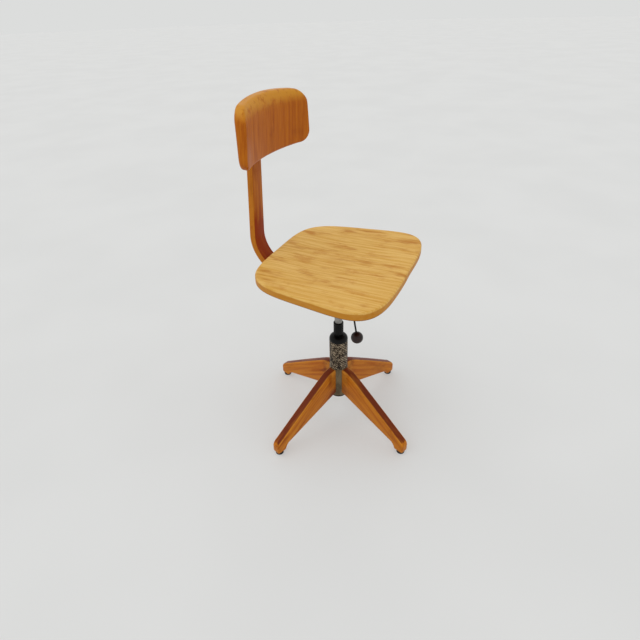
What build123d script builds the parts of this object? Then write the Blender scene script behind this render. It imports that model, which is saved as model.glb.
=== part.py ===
from build123d import *
from math import atan2, cos, degrees, hypot, pi, radians, sin
import os

# Drafting chair. Millimetres, +Z up. The origin is on the column's axis at the floor.
# The sitter faces -Y and the sitter's left hand is at +X.

# ---- base -----------------------------------------------------------------
LEG_COUNT = 4
LEG_FIRST_ANGLE = 68.7          # direction of leg 1, degrees about Z
LEG_THICK = 23.0
LEG_TIP_R = 249.0               # outer end of a leg, from the axis
LEG_TOP_Z = 173.0               # top of a leg at the hub
LEG_ROOT_Z = 87.0               # underside of a leg at the hub
FOOT_Z = 8.0                    # underside of the wood, above the floor
FOOT_INNER_R = 221.0
FOOT_NOTCH = (209.0, 26.0)      # radius and height where the underside meets the foot
GLIDE_R = 11.0
GLIDE_CENTRE_R = 236.0
NAIL_R = 1.5
NAIL_TOP_Z = 26.0

HUB_R = 26.0
HUB_BOTTOM_Z = 78.0
HUB_TOP_Z = 175.0
SLEEVE_R = 25.4
SLEEVE_TOP_Z = 265.0
LINER_R = 22.5                  # outside of the inner tube
LINER_BORE_R = 19.5
LINER_TOP_Z = 272.0
CAP_SHOULDER_Z = 268.0
CAP_TOP_Z = 281.0
RING_THICK = 5.0                # bottom closing cap
RING_SPIGOT = 6.0
BUSH_BOTTOM_Z = 236.0
COLLAR_R = 13.5
COLLAR_BORE_R = 11.0
COLLAR_TAPER_Z = 291.0
COLLAR_TOP_Z = 322.0
COLLAR_FLUTES = 16

STUD_Z = 106.0
STUD_R = 4.0
DOWEL_Z = 148.0
DOWEL_R = 4.0
POCKET_IN_R = 66.0              # nut pocket in the underside of each leg
POCKET_OUT_R = 88.0
POCKET_WIDTH = 14.0
POCKET_TOP_Z = 115.0
NUT_THICK = 6.0
WASHER_THICK = 2.0

# ---- spindle and height lock ----------------------------------------------
SHAFT_R = 10.5
SHAFT_BOTTOM_Z = 136.0
SHOULDER_Z = 404.0              # where the shaft steps down to its spigot
SPIGOT_R = 8.0
SPIGOT_TOP_Z = 470.0
ROD_R = 3.0
ROD_BORE_R = 3.6
SPRING_BORE_R = 6.4
SPRING_BOTTOM_Z = 446.0
ROD_HEAD_R = 5.6
ROD_HEAD_Z = 470.5
ROD_TOP_Z = 474.0
FIT_CLEAR = 0.05                # radial clearance of a running fit
SHOE_BOTTOM_Z = 124.0
SHOE_TOP_Z = 148.0
WEDGE_BOTTOM_Z = 113.0
RACE_R = 19.0
RACE_THICK = 4.0
BALL_R = 2.5
BALL_PITCH_R = 13.8
BALL_COUNT = 12

# ---- seat -----------------------------------------------------------------
SEAT_TOP_Z = 509.0
SEAT_THICK = 21.5
SEAT_HALF_DEPTH = 173.0
SEAT_HALF_WIDTH = 203.6
SEAT_POWER = 4.34               # exponent of the rounded-square outline
SEAT_TAPER = 0.126              # how much wider the front is than the middle
SEAT_SHIFT = 3.2                # outline centre, ahead of the axis
SEAT_DISH_DEPTH = 4.0
SEAT_DISH_R = 2600.0
PLATE_THICK = 6.0
PLATE_HALF_X = 78.0
PLATE_FRONT = 82.0
PLATE_BACK = 118.0
BOSS_R = 22.5
BOSS_BOTTOM_Z = 398.0
SCREW_R = 2.6
WOOD_SCREW_DEPTH = 12.0

# ---- back post ------------------------------------------------------------
POST_HALF_WIDTH = 24.5
POST_THICK = 15.0
POST_BOTTOM_Z = 438.0
POST_BEND_R = 101.0             # outside of the bend
POST_BEND_Y = 133.5
POST_INNER_END_Y = 48.0
POST_LEAN = 3.6                 # degrees, top towards the sitter
POST_LENGTH = 298.0             # straight upright above the bend
POST_TOP_HALF_WIDTH = 21.0      # the upright narrows to this
GUIDE_FRONT_Y = 50.0
GUIDE_BACK_Y = 105.0
GUIDE_CLEAR = 0.3
GUIDE_WALL = 5.0
GUIDE_FLOOR = 6.4
FLANGE_HALF_X = 46.0
CLAMP_Y = 78.0
CLAMP_R = 4.0

# ---- backrest -------------------------------------------------------------
PIVOT_Z = 812.0                 # height of the tilt pivot
PIVOT_OUT = 8.0                 # pivot pin, ahead of the post's face
PIN_R = 3.0
BARREL_R = 4.2
BACK_CURVE_R = 380.0            # front face, seen from above
BACK_SWEEP = 26.0               # the block is swept this far each way, then cut to its outline
BACK_FRONT = -39.4              # front face, ahead of the post's face
BACK_TOP = 66.0                 # crest above the pivot, and the lowest edge below it
BACK_BOTTOM = -65.0
BACK_REAR_TOP = -9.4           # rear face, at the top and at the bottom
BACK_REAR_BOTTOM = -19.4
BACK_CREST = -25.4              # where the rounded top is highest
BACK_CROWN = 7.0                # fall of the top edge towards the corners
BACK_SAG = 2.0                  # rise of the bottom edge towards the corners
BACK_HALF_TOP = 138.0
BACK_HALF_BOTTOM = 152.0
BACK_CORNER_R = 30.0
BACK_PLATE_Y = -18.4            # the hinge plate's seat in the board's back
BACK_PLATE_THICK = 3.5
BACK_SCREW_END = 32.0           # how deep the hinge plate's screws reach

# ---- release lever --------------------------------------------------------
BALL_CENTRE = (-39.5, -68.0, 316.0)
KNOB_R = 15.8
LEVER_PIVOT_R = 37.0
LEVER_PIVOT_Z = 469.0
LEVER_ROD_R = 2.3
LEVER_PIN_R = 3.0
LEVER_HUB_R = 6.5
LEVER_HUB_HALF = 5.0
LUG_THICK = 4.0
CRANK_HALF = 3.0                # half the thickness of the lever's inner arm
CRANK_SLOT_Z = 464.0

SEAT_BOTTOM_Z = SEAT_TOP_Z - SEAT_THICK
PLATE_BOTTOM_Z = SEAT_BOTTOM_Z - PLATE_THICK
POST_TOP_FACE_Z = POST_BOTTOM_Z + POST_THICK
LEVER_ANGLE = degrees(atan2(BALL_CENTRE[1], BALL_CENTRE[0]))
BALL_RADIUS_OUT = hypot(BALL_CENTRE[0], BALL_CENTRE[1])

NODES = {}


def rod(radius, z0, z1, x=0.0, y=0.0):
    """An upright cylinder between two heights."""
    return Pos(x, y, z0) * Cylinder(radius, z1 - z0, align=(Align.CENTER, Align.CENTER, Align.MIN))


def pipe(outer, inner, z0, z1):
    """An upright tube about the column's axis."""
    return rod(outer, z0, z1) - rod(inner, z0 - 1, z1 + 1)


def block(x0, x1, y0, y1, z0, z1):
    """A box between two corners."""
    low_corner = (Align.MIN, Align.MIN, Align.MIN)
    return Pos(x0, y0, z0) * Box(x1 - x0, y1 - y0, z1 - z0, align=low_corner)


def lying(radius, x0, x1, y, z):
    """A cylinder along X."""
    centre = Pos((x0 + x1) / 2, y, z)
    return centre * Rot(0, 90, 0) * Cylinder(radius, x1 - x0)


def cone(r0, r1, z0, z1):
    """A cone about the column's axis, r0 at the bottom and r1 at the top."""
    return Pos(0, 0, z0) * Cone(r0, r1, z1 - z0, align=(Align.CENTER, Align.CENTER, Align.MIN))


def hexagon_prism(across_flats, z0, z1, bore):
    """A nut about the Z axis."""
    outline = RegularPolygon(across_flats / 2, 6, major_radius=False)
    return Pos(0, 0, z0) * extrude(outline, z1 - z0) - rod(bore, z0 - 1, z1 + 1)


def leg_angle(index):
    """The direction of one leg, in degrees about Z."""
    return LEG_FIRST_ANGLE + index * 360 / LEG_COUNT


def leg_profile():
    """A leg's side view, drawn with radius along X and height along Y."""
    shoulder = (50, 168)
    hip = (60, 162.5)
    crown = (146, 107.5)
    knee = (233, 50)
    tip_top = (LEG_TIP_R, 30)
    tip_mid = (245.5, 42)
    edges = [
        Line((HUB_R, LEG_ROOT_Z), (HUB_R, LEG_TOP_Z)),
        ThreePointArc((HUB_R, LEG_TOP_Z), shoulder, hip),
        ThreePointArc(hip, crown, knee),
        ThreePointArc(knee, tip_mid, tip_top),
        Line(tip_top, (LEG_TIP_R, FOOT_Z + 4)),
        ThreePointArc((LEG_TIP_R, FOOT_Z + 4), (LEG_TIP_R - 1.2, FOOT_Z + 1.2), (LEG_TIP_R - 4, FOOT_Z)),
        Line((LEG_TIP_R - 4, FOOT_Z), (FOOT_INNER_R, FOOT_Z)),
        ThreePointArc((FOOT_INNER_R, FOOT_Z), (217, 18), FOOT_NOTCH),
        Line(FOOT_NOTCH, (HUB_R, LEG_ROOT_Z)),
    ]
    return make_face(Wire(edges))


def leg_board():
    """One leg lying along +X, on edge, with its sockets and nut pocket."""
    board = extrude(Plane.XZ * leg_profile(), LEG_THICK / 2, both=True)
    half_pocket = POCKET_WIDTH / 2
    board -= block(POCKET_IN_R, POCKET_OUT_R, -half_pocket, half_pocket, 40, POCKET_TOP_Z)
    board -= lying(STUD_R, HUB_R - 1, POCKET_IN_R + 1, 0, STUD_Z)
    board -= lying(DOWEL_R, HUB_R - 1, HUB_R + 30, 0, DOWEL_Z)
    board -= rod(NAIL_R, 0, NAIL_TOP_Z, GLIDE_CENTRE_R)
    return board


def glide():
    """One domed foot pad under a leg that lies along +X."""
    pad = rod(GLIDE_R, 0, FOOT_Z, GLIDE_CENTRE_R)
    pad = fillet(pad.edges().group_by(Axis.Z)[0], 2)
    return pad - rod(NAIL_R, 1.5, FOOT_Z + 1, GLIDE_CENTRE_R)


def turned(shape, index):
    """A shape of the first leg, turned to another leg's place."""
    return Rot(0, 0, leg_angle(index)) * shape


def make_base_timber():
    """The four legs, their glides and the glides' nails."""
    nails = []
    for index in range(LEG_COUNT):
        NODES[f"leg_{index + 1}"] = turned(leg_board(), index)
        NODES[f"glide_{index + 1}"] = turned(glide(), index)
        nails.append(turned(rod(NAIL_R, 1.5, NAIL_TOP_Z, GLIDE_CENTRE_R), index))
    NODES["glide_nails"] = Compound(nails)


def make_leg_fixings():
    """Studs and dowels of the hub, with a washer and nut in each leg's pocket."""
    studs = []
    dowels = []
    washers = []
    nuts = []
    stud_end = POCKET_IN_R + WASHER_THICK + NUT_THICK + 3
    for index in range(LEG_COUNT):
        studs.append(turned(lying(STUD_R, LINER_R + 0.5, stud_end, 0, STUD_Z), index))
        dowels.append(turned(lying(DOWEL_R, LINER_R + 0.5, HUB_R + 29, 0, DOWEL_Z), index))
        on_stud = Pos(POCKET_IN_R, 0, STUD_Z) * Rot(0, 90, 0)
        washer = on_stud * pipe(6.5, STUD_R, 0, WASHER_THICK)
        nut = on_stud * hexagon_prism(11.4, WASHER_THICK, WASHER_THICK + NUT_THICK, STUD_R)
        washers.append(turned(washer, index))
        nuts.append(turned(nut, index))
    NODES["leg_studs"] = Compound(studs)
    NODES["leg_dowels"] = Compound(dowels)
    NODES["leg_washers"] = Compound(washers)
    NODES["leg_nuts"] = Compound(nuts)


def hub_sockets():
    """The holes in the hub's wall that take the studs and dowels."""
    holes = []
    for index in range(LEG_COUNT):
        holes.append(turned(lying(STUD_R, LINER_R + 0.5, HUB_R + 2, 0, STUD_Z), index))
        holes.append(turned(lying(DOWEL_R, LINER_R + 0.5, HUB_R + 2, 0, DOWEL_Z), index))
    return holes


def column_cap():
    """The domed cap that closes the top of the sleeve."""
    dome_mid = 9.0
    flat_r = 13.0
    edges = [
        Line((COLLAR_BORE_R + 0.2, SLEEVE_TOP_Z), (SLEEVE_R, SLEEVE_TOP_Z)),
        Line((SLEEVE_R, SLEEVE_TOP_Z), (SLEEVE_R, CAP_SHOULDER_Z)),
        ThreePointArc((SLEEVE_R, CAP_SHOULDER_Z), (flat_r + dome_mid, CAP_TOP_Z - 4), (flat_r, CAP_TOP_Z)),
        Line((flat_r, CAP_TOP_Z), (COLLAR_BORE_R + 0.2, CAP_TOP_Z)),
        Line((COLLAR_BORE_R + 0.2, CAP_TOP_Z), (COLLAR_BORE_R + 0.2, SLEEVE_TOP_Z)),
    ]
    dome = revolve(Plane.XZ * make_face(Wire(edges)), Axis.Z)
    return dome - rod(LINER_R, SLEEVE_TOP_Z - 1, LINER_TOP_Z)


def guide_collar():
    """The fluted collar round the shaft, tapered to its lower end."""
    collar = rod(COLLAR_R, COLLAR_TAPER_Z, COLLAR_TOP_Z)
    collar = chamfer(collar.edges().group_by(Axis.Z)[-1], 1.2)
    collar += cone(12.2, COLLAR_R, CAP_TOP_Z, COLLAR_TAPER_Z)
    for index in range(COLLAR_FLUTES):
        flute = rod(1.1, CAP_TOP_Z - 1, COLLAR_TOP_Z - 5, COLLAR_R + 0.35)
        collar -= Rot(0, 0, index * 360 / COLLAR_FLUTES) * flute
    return collar - rod(COLLAR_BORE_R, CAP_TOP_Z - 1, COLLAR_TOP_Z + 1)


def make_column():
    """The hub, sleeve, liner, caps, bush and collar: all fixed to the legs."""
    hub = pipe(HUB_R, LINER_R, HUB_BOTTOM_Z, HUB_TOP_Z)
    for hole in hub_sockets():
        hub -= hole
    NODES["hub_tube"] = hub
    NODES["column_sleeve"] = pipe(SLEEVE_R, LINER_R, HUB_TOP_Z, SLEEVE_TOP_Z)
    NODES["liner_tube"] = pipe(LINER_R, LINER_BORE_R, HUB_BOTTOM_Z, LINER_TOP_Z)
    ring = rod(HUB_R, HUB_BOTTOM_Z - RING_THICK, HUB_BOTTOM_Z)
    ring = fillet(ring.edges().group_by(Axis.Z)[0], 2)
    NODES["bottom_cap"] = ring + rod(LINER_BORE_R, HUB_BOTTOM_Z, HUB_BOTTOM_Z + RING_SPIGOT)
    NODES["column_cap"] = column_cap()
    NODES["guide_bush"] = pipe(LINER_BORE_R, SHAFT_R + FIT_CLEAR, BUSH_BOTTOM_Z, LINER_TOP_Z)
    screw_z = 300.0
    screw = Pos(0, 0, screw_z) * Rot(-90, 0, 0) * rod(1.6, COLLAR_BORE_R, COLLAR_R - 0.6)
    NODES["guide_collar"] = guide_collar() - screw
    NODES["collar_screw"] = screw


def make_spindle():
    """The height shaft with its locking shoe, lower race, balls and retaining nut."""
    shaft = rod(SHAFT_R, SHAFT_BOTTOM_Z, SHOULDER_Z) + rod(SPIGOT_R, SHOULDER_Z, SPIGOT_TOP_Z)
    shaft -= rod(ROD_BORE_R, SHAFT_BOTTOM_Z - 1, SPIGOT_TOP_Z + 1)
    shaft -= rod(SPRING_BORE_R, SPRING_BOTTOM_Z, SPIGOT_TOP_Z + 1)
    NODES["spindle"] = shaft
    shoe = rod(LINER_BORE_R - FIT_CLEAR, SHOE_BOTTOM_Z, SHOE_TOP_Z)
    shoe -= rod(SHAFT_R, SHAFT_BOTTOM_Z, SHOE_TOP_Z + 1)
    shoe -= cone(15.0, 11.4, SHOE_BOTTOM_Z, SHAFT_BOTTOM_Z)
    for index in range(3):
        slit = block(11, LINER_BORE_R + 2, -1, 1, SHOE_BOTTOM_Z - 1, SHOE_TOP_Z - 5)
        shoe -= Rot(0, 0, index * 120) * slit
    NODES["locking_shoe"] = shoe
    NODES["lower_race"] = pipe(RACE_R, SPIGOT_R, SHOULDER_Z, SHOULDER_Z + RACE_THICK) - ball_groove()
    balls = []
    for index in range(BALL_COUNT):
        angle = radians(index * 360 / BALL_COUNT)
        place = Pos(BALL_PITCH_R * cos(angle), BALL_PITCH_R * sin(angle), ball_height())
        balls.append(place * Sphere(BALL_R))
    NODES["bearing_balls"] = Compound(balls)
    nut_z = SPIGOT_TOP_Z - 7.5
    NODES["retaining_nut"] = hexagon_prism(21, nut_z, nut_z + 6, SPIGOT_R)


def ball_height():
    """The height of the bearing balls' centres."""
    return SHOULDER_Z + RACE_THICK + BALL_R - 1.0


def ball_groove():
    """The ring that the balls sweep, with room to roll."""
    return Pos(0, 0, ball_height()) * Torus(BALL_PITCH_R, BALL_R + FIT_CLEAR)


def make_release():
    """The release rod with its wedge, and the spring under its head."""
    stem = rod(ROD_R, WEDGE_BOTTOM_Z + 3, ROD_HEAD_Z) + rod(ROD_HEAD_R, ROD_HEAD_Z, ROD_TOP_Z)
    NODES["release_rod"] = chamfer(stem.edges().group_by(Axis.Z)[-1], 0.8)
    wedge = rod(14.5, WEDGE_BOTTOM_Z, SHOE_BOTTOM_Z) + cone(14.5, 11.5, SHOE_BOTTOM_Z, SHOE_BOTTOM_Z + 10)
    NODES["wedge_cone"] = wedge - rod(ROD_R, WEDGE_BOTTOM_Z + 3, SHOE_TOP_Z)
    wire_r = 0.7
    coil_r = 4.7
    rise = ROD_HEAD_Z - SPRING_BOTTOM_Z - 2 * wire_r - 0.2
    path = Pos(0, 0, SPRING_BOTTOM_Z + wire_r + 0.1) * Helix(pitch=rise / 6, height=rise, radius=coil_r)
    start = Plane(origin=path @ 0, z_dir=path % 0)
    NODES["release_spring"] = sweep(start * Circle(wire_r), path, is_frenet=True)


def seat_outline():
    """The seat's plan: a rounded square that widens towards the front."""
    points = []
    steps = 48
    for index in range(steps):
        angle = 2 * pi * index / steps
        forward = SEAT_HALF_DEPTH * superpower(cos(angle))
        half_width = SEAT_HALF_WIDTH * (1 + SEAT_TAPER * forward / SEAT_HALF_DEPTH)
        side = half_width * superpower(sin(angle))
        points.append((side, -SEAT_SHIFT - forward))
    return make_face(Wire([Spline(points, periodic=True)]))


def superpower(value):
    """A cosine or sine raised to the outline's power, with its sign kept."""
    size = abs(value) ** (2 / SEAT_POWER)
    return size if value >= 0 else -size


def seat_screw_places():
    """Where the wood screws go through the seat plate."""
    places = []
    for x in (-64, 64):
        for y in (-66, 14, 100):
            places.append((x, y))
    return places


def guide_screw_places():
    """Where the guide's flanges are screwed to the seat plate."""
    places = []
    for x in (-38, 38):
        for y in (GUIDE_FRONT_Y + 10, GUIDE_BACK_Y - 10):
            places.append((x, y))
    return places


def make_seat_board():
    """The wooden seat, dished on top, with its screw holes and a hub recess."""
    board = Pos(0, 0, SEAT_BOTTOM_Z) * extrude(seat_outline(), SEAT_THICK)
    board = fillet(board.edges().group_by(Axis.Z)[-1], 5)
    board = fillet(board.edges().group_by(Axis.Z)[0], 4)
    board -= Pos(0, 0, SEAT_TOP_Z - SEAT_DISH_DEPTH + SEAT_DISH_R) * Sphere(SEAT_DISH_R)
    for x, y in seat_screw_places():
        board -= rod(SCREW_R, SEAT_BOTTOM_Z - 1, SEAT_BOTTOM_Z + WOOD_SCREW_DEPTH, x, y)
    NODES["seat_board"] = board


def seat_plate():
    """The cast plate under the board, with the bearing boss and the lever's lugs."""
    plate = block(-PLATE_HALF_X, PLATE_HALF_X, -PLATE_FRONT, PLATE_BACK, PLATE_BOTTOM_Z, SEAT_BOTTOM_Z)
    plate = fillet(plate.edges().filter_by(Axis.Z), 22)
    plate += rod(BOSS_R, BOSS_BOTTOM_Z, PLATE_BOTTOM_Z)
    for side in (-1, 1):
        rib = block(0, 52, -2.5, 2.5, PLATE_BOTTOM_Z - 20, PLATE_BOTTOM_Z)
        rib -= Pos(52, 0, PLATE_BOTTOM_Z - 20) * Rot(0, -32, 0) * Box(90, 6, 24)
        plate += Rot(0, 0, 90 - side * 90) * rib
    for side in (-1, 1):
        near = side * (LEVER_HUB_HALF + 0.4)
        far = side * (LEVER_HUB_HALF + 0.4 + LUG_THICK)
        lug = block(LEVER_PIVOT_R - 8, LEVER_PIVOT_R + 8, min(near, far), max(near, far),
                    LEVER_PIVOT_Z - 8, PLATE_BOTTOM_Z)
        plate += Rot(0, 0, LEVER_ANGLE) * lug
    return plate


def crank_slot():
    """The gap through the boss that the lever's inner arm swings in."""
    return Rot(0, 0, LEVER_ANGLE) * block(-9, LEVER_PIVOT_R + 9, -4, 4, CRANK_SLOT_Z, SEAT_BOTTOM_Z + 1)


def make_seat_hub():
    """The seat plate bored for the spigot, the races, the lever and all its screws."""
    plate = seat_plate()
    race_top = ball_height() + BALL_R + 2.4
    plate -= rod(RACE_R + 0.6, BOSS_BOTTOM_Z - 1, race_top)
    plate -= rod(SPIGOT_R + FIT_CLEAR, race_top - 1, SPIGOT_TOP_Z)
    plate -= rod(13.5, SPIGOT_TOP_Z - 8, SEAT_BOTTOM_Z + 1)
    plate -= crank_slot()
    plate -= Rot(0, 0, LEVER_ANGLE) * lying_across(LEVER_PIN_R, 12)
    for x, y in seat_screw_places():
        plate -= rod(SCREW_R, PLATE_BOTTOM_Z - 1, SEAT_BOTTOM_Z + 1, x, y)
    for x, y in guide_screw_places():
        plate -= rod(SCREW_R, PLATE_BOTTOM_Z - 1, SEAT_BOTTOM_Z + 1, x, y)
    NODES["seat_plate"] = plate
    upper = pipe(RACE_R + 0.6, SPIGOT_R + 0.6, ball_height() + BALL_R - 1.6, race_top)
    NODES["upper_race"] = upper - ball_groove()


def lying_across(radius, half_length):
    """A cylinder along Y at the lever's pivot, for a lever that lies along +X."""
    return Pos(LEVER_PIVOT_R, 0, LEVER_PIVOT_Z) * Rot(90, 0, 0) * Cylinder(radius, 2 * half_length)


def post_guide():
    """The box under the plate that the post slides in, with its two flanges."""
    inner_x = POST_HALF_WIDTH + GUIDE_CLEAR
    outer_x = inner_x + GUIDE_WALL
    floor_top = POST_BOTTOM_Z - GUIDE_CLEAR
    roof_bottom = POST_TOP_FACE_Z + GUIDE_CLEAR
    body = block(-outer_x, outer_x, GUIDE_FRONT_Y, GUIDE_BACK_Y, floor_top - GUIDE_FLOOR, PLATE_BOTTOM_Z)
    body += block(-FLANGE_HALF_X, FLANGE_HALF_X, GUIDE_FRONT_Y, GUIDE_BACK_Y, PLATE_BOTTOM_Z - 5, PLATE_BOTTOM_Z)
    body -= block(-inner_x, inner_x, GUIDE_FRONT_Y - 1, GUIDE_BACK_Y + 1, floor_top, roof_bottom)
    body -= block(-inner_x, inner_x, GUIDE_FRONT_Y - 1, GUIDE_BACK_Y + 1, roof_bottom + 4, PLATE_BOTTOM_Z - 5)
    body -= rod(CLAMP_R + FIT_CLEAR, floor_top - GUIDE_FLOOR - 1, floor_top + 1, 0, CLAMP_Y)
    for x, y in guide_screw_places():
        body -= rod(SCREW_R, PLATE_BOTTOM_Z - 6, PLATE_BOTTOM_Z + 1, x, y)
    return body


def make_seat_fixings():
    """Wood screws, guide screws and the lever's pivot pin."""
    wood = []
    for x, y in seat_screw_places():
        head = rod(5, PLATE_BOTTOM_Z - 3, PLATE_BOTTOM_Z, x, y)
        wood.append(head + rod(SCREW_R, PLATE_BOTTOM_Z, SEAT_BOTTOM_Z + WOOD_SCREW_DEPTH, x, y))
    machine = []
    for x, y in guide_screw_places():
        head = rod(5, PLATE_BOTTOM_Z - 9, PLATE_BOTTOM_Z - 5, x, y)
        machine.append(head + rod(SCREW_R, PLATE_BOTTOM_Z - 5, SEAT_BOTTOM_Z - 0.5, x, y))
    NODES["seat_screws"] = Compound(wood)
    NODES["guide_screws"] = Compound(machine)
    NODES["post_guide"] = post_guide()
    NODES["lever_pin"] = Rot(0, 0, LEVER_ANGLE) * lying_across(LEVER_PIN_R, 9.4)


def lever_place():
    """Turns a lever drawn along +X to where the lever stands."""
    return Rot(0, 0, LEVER_ANGLE)


def lever_direction():
    """The bare rod's unit direction from the pivot to the ball, radially out and up."""
    out = BALL_RADIUS_OUT - LEVER_PIVOT_R
    up = BALL_CENTRE[2] - LEVER_PIVOT_Z
    length = hypot(out, up)
    return out / length, up / length, length


def make_lever():
    """The release lever: cranked arm, bent-down rod and ball knob."""
    out, up, length = lever_direction()
    tip_z = ROD_TOP_Z + 0.3
    arm = lying_across(LEVER_HUB_R, LEVER_HUB_HALF)
    arm += Pos(0, 0, tip_z + CRANK_HALF) * Rot(90, 0, 0) * Cylinder(CRANK_HALF, 2 * CRANK_HALF)
    arm += block(0, 16, -CRANK_HALF, CRANK_HALF, tip_z + 1, tip_z + 2 * CRANK_HALF)
    arm += block(16, LEVER_PIVOT_R, -CRANK_HALF, CRANK_HALF, LEVER_PIVOT_Z, tip_z + 2 * CRANK_HALF)
    arm -= lying_across(LEVER_PIN_R + FIT_CLEAR, LEVER_HUB_HALF + 1)
    along = Plane(origin=(LEVER_PIVOT_R, 0, LEVER_PIVOT_Z), z_dir=(out, 0, up))
    socket = along * Pos(0, 0, LEVER_HUB_R - 1.5) * Cylinder(
        4.5, 12, align=(Align.CENTER, Align.CENTER, Align.MIN))
    stem = along * Pos(0, 0, LEVER_HUB_R) * Cylinder(
        LEVER_ROD_R, length - LEVER_HUB_R - 3, align=(Align.CENTER, Align.CENTER, Align.MIN))
    ball = along * Pos(0, 0, length) * Sphere(KNOB_R)
    NODES["lever_crank"] = lever_place() * (arm + socket - stem)
    NODES["lever_rod"] = lever_place() * stem
    NODES["ball_knob"] = lever_place() * (ball - stem)


def post_profile():
    """The post's side view, drawn with Y along X and height along Y."""
    centre = Vector(POST_BEND_Y, POST_BOTTOM_Z + POST_BEND_R)
    lean = radians(POST_LEAN)
    inner_r = POST_BEND_R - POST_THICK

    def on_arc(radius, angle):
        return centre + Vector(radius * cos(angle), radius * sin(angle))

    up = Vector(-sin(lean), cos(lean)) * POST_LENGTH
    halfway = radians(-45)
    low_outer = Vector(POST_BEND_Y, POST_BOTTOM_Z)
    low_inner = Vector(POST_BEND_Y, POST_TOP_FACE_Z)
    edges = [
        Line((POST_INNER_END_Y, POST_BOTTOM_Z), low_outer),
        ThreePointArc(low_outer, on_arc(POST_BEND_R, halfway), on_arc(POST_BEND_R, lean)),
        Line(on_arc(POST_BEND_R, lean), on_arc(POST_BEND_R, lean) + up),
        Line(on_arc(POST_BEND_R, lean) + up, on_arc(inner_r, lean) + up),
        Line(on_arc(inner_r, lean) + up, on_arc(inner_r, lean)),
        ThreePointArc(on_arc(inner_r, lean), on_arc(inner_r, halfway), low_inner),
        Line(low_inner, (POST_INNER_END_Y, POST_TOP_FACE_Z)),
        Line((POST_INNER_END_Y, POST_TOP_FACE_Z), (POST_INNER_END_Y, POST_BOTTOM_Z)),
    ]
    return make_face(Wire(edges))


def pivot_frame():
    """A frame on the post's face at the pivot's height, leaned with the post."""
    lean = radians(POST_LEAN)
    face_r = POST_BEND_R - POST_THICK
    start_y = POST_BEND_Y + face_r * cos(lean)
    start_z = POST_BOTTOM_Z + POST_BEND_R + face_r * sin(lean)
    travel = (PIVOT_Z - start_z) / cos(lean)
    return Pos(0, start_y - travel * sin(lean), PIVOT_Z) * Rot(POST_LEAN, 0, 0)


def post_front_outline():
    """The post seen from the front: its upright narrows towards the top."""
    bend_z = POST_BOTTOM_Z + POST_BEND_R
    top_z = bend_z + POST_LENGTH + 20
    corners = [
        (-POST_HALF_WIDTH - 1, POST_BOTTOM_Z - 1),
        (POST_HALF_WIDTH + 1, POST_BOTTOM_Z - 1),
        (POST_HALF_WIDTH + 1, bend_z),
        (POST_HALF_WIDTH, bend_z),
        (POST_TOP_HALF_WIDTH, top_z),
        (-POST_TOP_HALF_WIDTH, top_z),
        (-POST_HALF_WIDTH, bend_z),
        (-POST_HALF_WIDTH - 1, bend_z),
    ]
    return make_face(Wire(Polyline(corners, close=True)))


def across(radius, half_length, y, z):
    """A cylinder along X in the pivot's frame."""
    return lying(radius, -half_length, half_length, y, z)


def bolt_heights():
    """Heights of the bracket's two bolts, in the pivot's frame."""
    return (-17.0, 17.0)


def make_post():
    """The bent post, the pivot bracket on its face, its bolts and the pivot pin."""
    frame = pivot_frame()
    strip = extrude(Plane.YZ * post_profile(), POST_HALF_WIDTH, both=True)
    strip &= extrude(Plane.XZ * post_front_outline(), 300, both=True)
    for z in bolt_heights():
        strip -= frame * Pos(0, 0, z) * Rot(-90, 0, 0) * rod(SCREW_R, -6, POST_THICK + 4)
    NODES["back_post"] = strip
    bracket = block(-21, 21, -3, 0, -27, 27)
    for x in (-12.5, 8.3):
        lug = block(x, x + 4.2, -PIVOT_OUT, -3, -3.8, 3.8) + lying(3.8, x, x + 4.2, -PIVOT_OUT, 0)
        bracket += lug
    bracket -= across(PIN_R, 20, -PIVOT_OUT, 0)
    bolts = []
    for z in bolt_heights():
        shank = Pos(0, 0, z) * Rot(-90, 0, 0) * rod(SCREW_R, -3, POST_THICK)
        head = Pos(0, 0, z) * Rot(-90, 0, 0) * rod(4.6, -5.6, -3)
        nut = Pos(0, POST_THICK, z) * Rot(-90, 0, 0) * extrude(RegularPolygon(4.5, 6, major_radius=False), 4)
        bolts.append(frame * (shank + head + nut))
        bracket -= shank
    NODES["pivot_bracket"] = frame * bracket
    NODES["bracket_bolts"] = Compound(bolts)
    NODES["pivot_pin"] = frame * across(PIN_R, 12.5, -PIVOT_OUT, 0)


def back_section():
    """The board's upright section, drawn with Y along X and height along Y."""
    front_low = (BACK_FRONT, BACK_BOTTOM + 17)
    front_high = (BACK_FRONT, BACK_TOP - 20)
    crest = (BACK_CREST, BACK_TOP)
    rear_high = (BACK_REAR_TOP, BACK_TOP - 16)
    rear_low = (BACK_REAR_BOTTOM, BACK_BOTTOM + 3)
    toe = (BACK_REAR_BOTTOM - 3, BACK_BOTTOM)
    edges = [
        Line(toe, (BACK_CREST, BACK_BOTTOM)),
        ThreePointArc((BACK_CREST, BACK_BOTTOM), (BACK_FRONT + 4, BACK_BOTTOM + 5.5), front_low),
        Line(front_low, front_high),
        ThreePointArc(front_high, (BACK_FRONT + 4.1, BACK_TOP - 5.9), crest),
        ThreePointArc(crest, (BACK_REAR_TOP - 4.7, BACK_TOP - 4.7), rear_high),
        Line(rear_high, rear_low),
        ThreePointArc(rear_low, (BACK_REAR_BOTTOM - 0.9, BACK_BOTTOM + 0.9), toe),
    ]
    return make_face(Wire(edges))


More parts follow.
